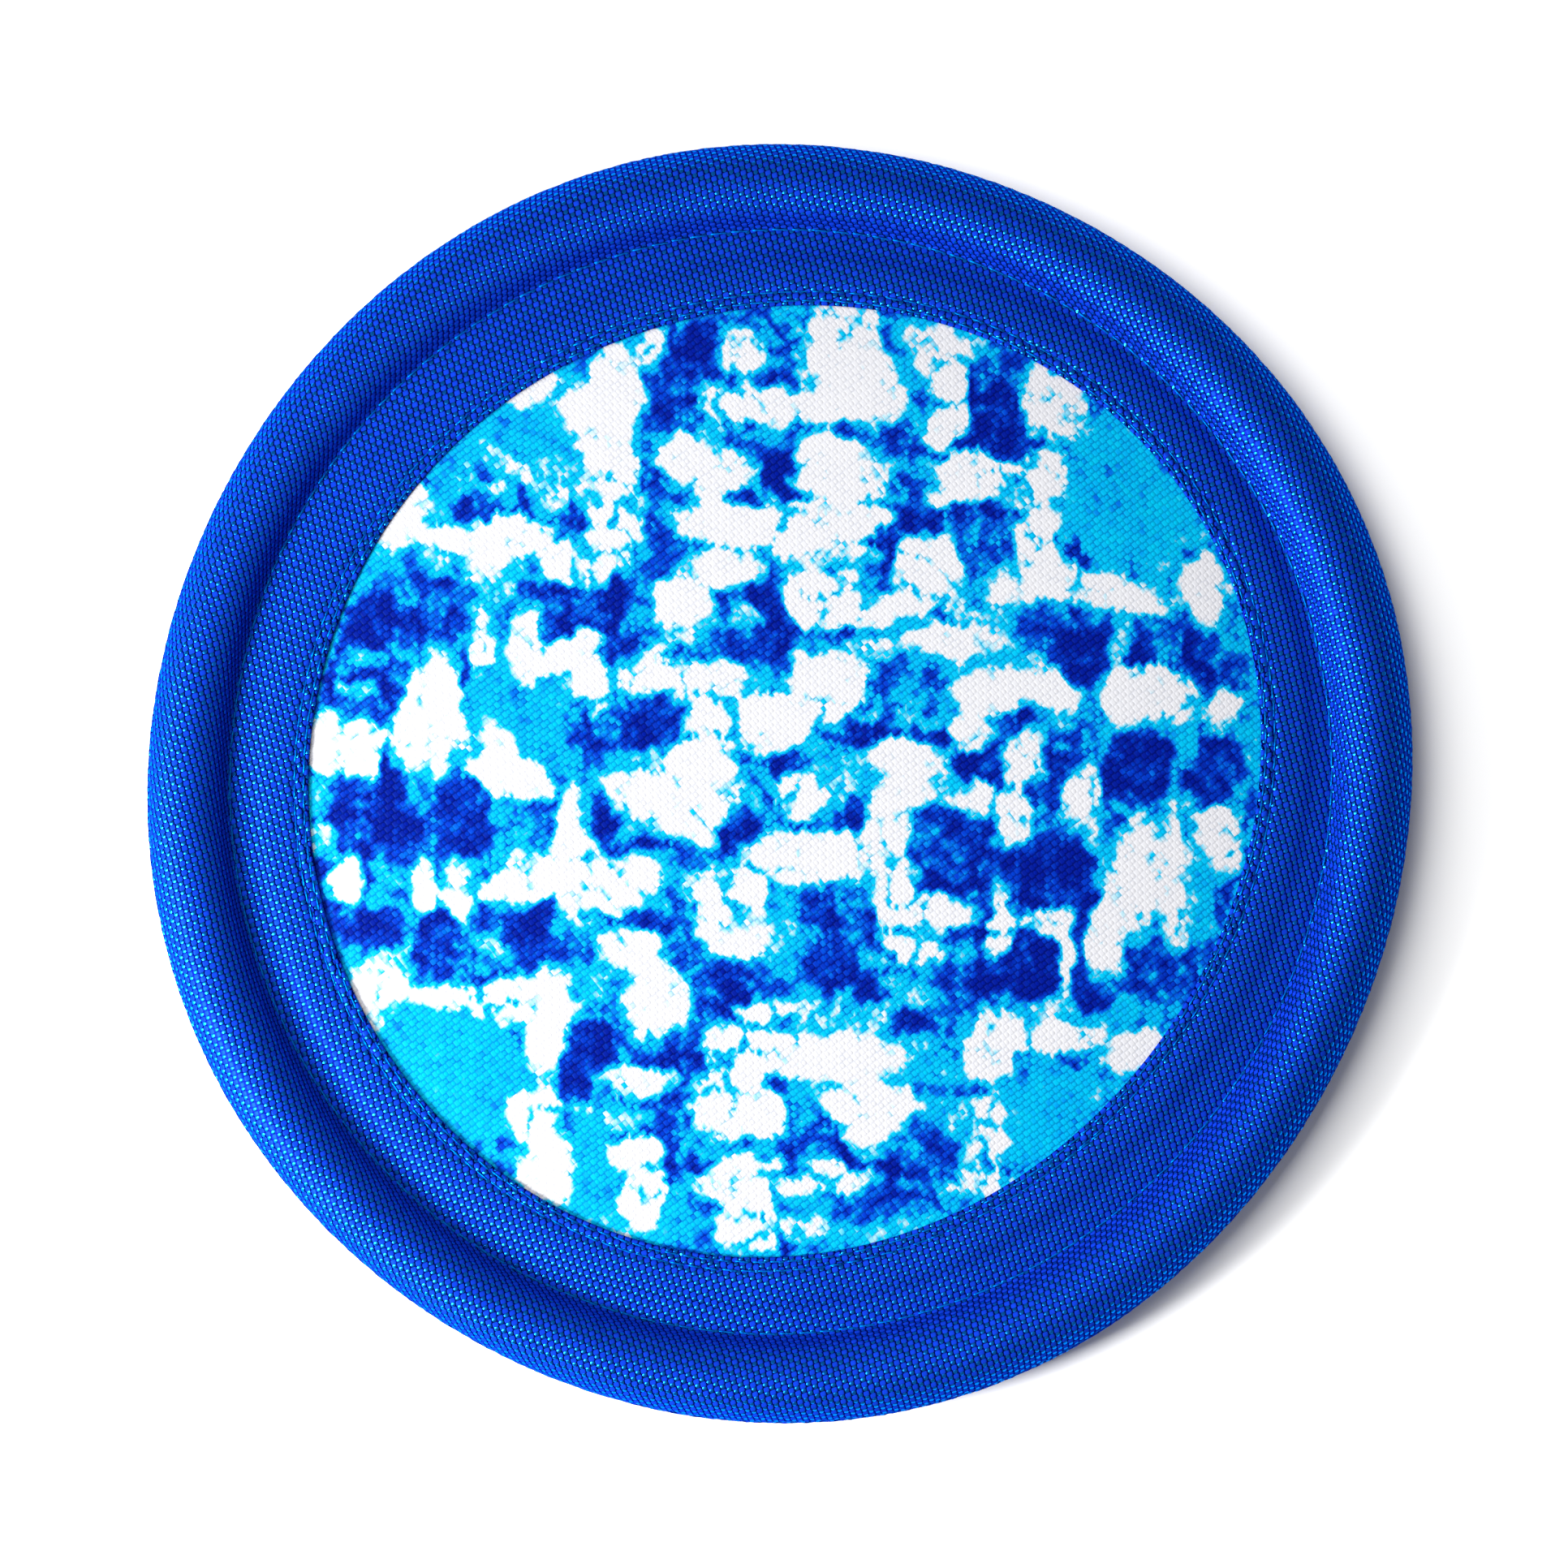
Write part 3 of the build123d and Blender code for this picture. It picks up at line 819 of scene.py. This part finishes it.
def printed_cloth(name):
    """White filament cloth with a tie-dye print, paler on its back, with painted shade in the gaps between
    its floats.
    """
    material, tree, shader = new_material(name, 0.5, (0.3, 0.8, 1.0), level=0.1)
    weave = tree.nodes.new("ShaderNodeGroup")
    weave.node_tree = weave_group(name + "_weave", PANEL_CLOTH, 1, 0.6)
    crown = Num(tree, weave.outputs["Crown"])
    chance = Num(tree, weave.outputs["Random"])
    dye = attribute(tree, "dye") + chance * 0.22 - 0.11
    front = ramp(tree, dye, [
        (0.13, (0.42, 0.42, 0.44)),
        (0.19, (0.25, 0.40, 0.46)),
        (0.28, (0.0, 0.30, 0.46)),
        (0.52, (0.0, 0.23, 0.46)),
        (0.60, (0.0, 0.09, 0.41)),
        (0.76, (0.0, 0.024, 0.32)),
        (1.0, (0.0, 0.004, 0.16)),
    ])
    reverse = ramp(tree, dye, [
        (0.2, (0.42, 0.43, 0.45)),
        (0.5, (0.19, 0.33, 0.44)),
        (1.0, (0.07, 0.15, 0.36)),
    ])
    base = mix(tree, attribute(tree, "back"), front, reverse)
    # Painted shade: where the yarn lies low in the gaps between floats, the colour is multiplied towards
    # deep blue, more where the dye is strong.
    sunk = (crown * -1.5 + 1.0).do("MAXIMUM", 0.0)
    depth = (dye * 0.9 + 0.06).do("MINIMUM", 0.75)
    base = mix(tree, sunk * depth, base, (0.0, 0.10, 0.35), kind="MULTIPLY")
    tree.links.new(base, shader.inputs["Base Color"])
    tree.links.new(weave.outputs["Normal"], shader.inputs["Normal"])
    tree.links.new(weave.outputs["Across"], shader.inputs["Tangent"])
    shader.inputs["Anisotropic"].default_value = 0.4
    return material


def texture(tree, kind, scale, **inputs):
    """A texture in object space; its scale is in repeats per metre."""
    place = tree.nodes.new("ShaderNodeTexCoord")
    node = tree.nodes.new(kind)
    tree.links.new(place.outputs["Object"], node.inputs["Vector"])
    node.inputs["Scale"].default_value = scale
    for label, value in inputs.items():
        node.inputs[label].default_value = value
    return node


def bump(tree, shader, value, distance):
    node = tree.nodes.new("ShaderNodeBump")
    node.inputs["Distance"].default_value = distance
    tree.links.new(value.socket, node.inputs["Height"])
    tree.links.new(node.outputs[0], shader.inputs["Normal"])


def thread_material(name):
    """Shiny twisted sewing thread."""
    material, tree, shader = new_material(name, 0.40, (0.0, 0.5, 0.9), level=0.0)
    grain = Num(tree, texture(tree, "ShaderNodeTexNoise", 2600.0, Detail=2.0).outputs["Fac"])
    base = ramp(tree, grain, [(0.30, (0.0, 0.05, 0.30)), (0.70, (0.0, 0.18, 0.60))])
    tree.links.new(base, shader.inputs["Base Color"])
    shader.inputs["Metallic"].default_value = 0.6
    bump(tree, shader, grain, 0.03 * MM)
    return material


def foam_material(name):
    """Closed-cell foam: pale, with a skin of small cells."""
    material, tree, shader = new_material(name, 0.75, (1.0, 1.0, 1.0), level=0.3)
    cells = Num(tree, texture(tree, "ShaderNodeTexVoronoi", 900.0).outputs["Distance"])
    base = ramp(tree, cells, [(0.0, (0.84, 0.85, 0.86)), (0.8, (0.66, 0.68, 0.71))])
    tree.links.new(base, shader.inputs["Base Color"])
    bump(tree, shader, cells, 0.12 * MM)
    return material


def tape_material(name):
    """Crepe paper tape with fine creases."""
    material, tree, shader = new_material(name, 0.62, (1.0, 1.0, 1.0), level=0.35)
    crepe = texture(tree, "ShaderNodeTexNoise", 700.0, Detail=4.0, Distortion=0.6)
    creases = Num(tree, crepe.outputs["Fac"])
    base = ramp(tree, creases, [(0.25, (0.62, 0.50, 0.28)), (0.75, (0.76, 0.66, 0.42))])
    tree.links.new(base, shader.inputs["Base Color"])
    bump(tree, shader, creases, 0.10 * MM)
    return material


# ---------------------------------------------------------------------------------------------
# Camera, light and floor
# ---------------------------------------------------------------------------------------------
def make_camera():
    """Long lens straight above; the disc's centre is a hair left of and above the picture's centre."""
    data = bpy.data.cameras.new("camera")
    camera = bpy.data.objects.new("camera", data)
    bpy.context.scene.collection.objects.link(camera)
    height = 1.6
    picture_width = 2.469 * OUTER                          # of the ground that the picture shows
    data.sensor_width = 36.0
    data.lens = data.sensor_width * (height - MIDDLE) / picture_width
    camera.location = (0.62 * MM, -0.27 * MM, height)
    bpy.context.scene.camera = camera


def make_light(name, azimuth, elevation, distance, size, share, highlights=True):
    """Soft square light that points at the disc's middle. share is what white paper there would return of
    it. Without highlights it lights like a lamp behind a polariser."""
    a, e = radians(azimuth), radians(elevation)
    data = bpy.data.lights.new(name, "AREA")
    data.shape, data.size, data.energy = "SQUARE", size, share * (pi * distance)**2 / sin(e)
    lamp = bpy.data.objects.new(name, data)
    bpy.context.scene.collection.objects.link(lamp)
    lamp.location = (distance * cos(e) * cos(a), distance * cos(e) * sin(a), distance * sin(e))
    lamp.rotation_euler = (pi / 2 - e, 0, a + pi / 2)
    lamp.visible_glossy = highlights


def make_studio():
    scene = bpy.context.scene
    scene.view_settings.view_transform = "Standard"
    make_light("key", azimuth=145, elevation=57, distance=1.4, size=1.2, share=1.25, highlights=False)
    make_light("left_box", azimuth=208, elevation=29, distance=0.47, size=0.12, share=1.15)
    world = bpy.data.worlds.new("studio")
    world.use_nodes = True
    world.node_tree.nodes["Background"].inputs["Color"].default_value = (1.0, 1.0, 1.0, 1)
    world.node_tree.nodes["Background"].inputs["Strength"].default_value = 0.26
    scene.world = world
    material, tree, shader = new_material("floor", 0.9, (1.0, 1.0, 1.0), level=0.2)
    tone = Num(tree, texture(tree, "ShaderNodeTexNoise", 3.0).outputs["Fac"])
    paper = ramp(tree, tone, [(0.0, (0.88, 0.88, 0.88)), (1.0, (0.90, 0.90, 0.90))])
    tree.links.new(paper, shader.inputs["Base Color"])
    half = 1.5
    corners = [(-half, -half, 0), (half, -half, 0), (half, half, 0), (-half, half, 0)]
    make_object("floor", corners, [(0, 1, 2, 3)], material, smooth=False)


# ---------------------------------------------------------------------------------------------
# The disc
# ---------------------------------------------------------------------------------------------
def put(piece, node):
    """The piece rides on the disc and stands for the CAD node, which is hidden."""
    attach(piece, "root")
    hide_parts(node)
    return piece


def row_surface(side, seed):
    """Height of the cover's mid-line under a row of stitches, for an angle and a radius."""
    return lambda theta, radius: land_height(theta, radius, side, seed)


def make_disc():
    printed = printed_cloth("printed_cloth")
    blue_top = blue_cloth("blue_cloth_top", RING_CLOTH, 1)
    blue_bottom = blue_cloth("blue_cloth_bottom", BACK_CLOTH, -1)
    thread = thread_material("blue_thread")

    panel = put(make_panel("printed_panel", printed), "centre_panel")

    for name, side, cloth, material, seed in (
        ("top_cover_cloth", 1, RING_CLOTH, blue_top, 11),
        ("bottom_cover_cloth", -1, BACK_CLOTH, blue_bottom, 21),
    ):
        which = "top" if side > 0 else "bottom"
        cover = put(make_cover(name, side, cloth, material, seed), f"ring_cover_{which}")
        inner_cut, outer_cut = cut_radii(side, seed)
        2 * outer_cut
        2 * outer_cut
        pi * (outer_cut**2 - inner_cut**2)
        surface = row_surface(side, seed)
        # Each row's start and length in degrees, how far its end lies beside its start, and its radius
        rows = (
            ("rim_stitch", 178, 394, 0.65 * MM, stitch_line),
            ("hem_inner", 300, 366, 0.25 * MM, lambda t: hem_line(t) + (HEM_INNER - HEM)),
            ("hem_outer", 305, 368, 0.30 * MM, lambda t: hem_line(t) + (HEM_OUTER - HEM)),
        )
        for number, (row, start, sweep, spread, place) in enumerate(rows):
            stitches = stitch_row(f"{row}_{which}_stitches", side, radians(start), radians(sweep), spread,
                                  place, surface, thread, 30 + number + seed)
            put(stitches, f"{row}_{which}_thread")

    put(seam_stitches("outer_seam_stitches", thread), "outer_seam_thread")
    core = put(make_core("foam_cord", foam_material("white_foam")), "rim_core")
    put(make_tape("joint_tape", tape_material("crepe_tape")), "core_splice_tape")


make_camera()
make_studio()
make_disc()
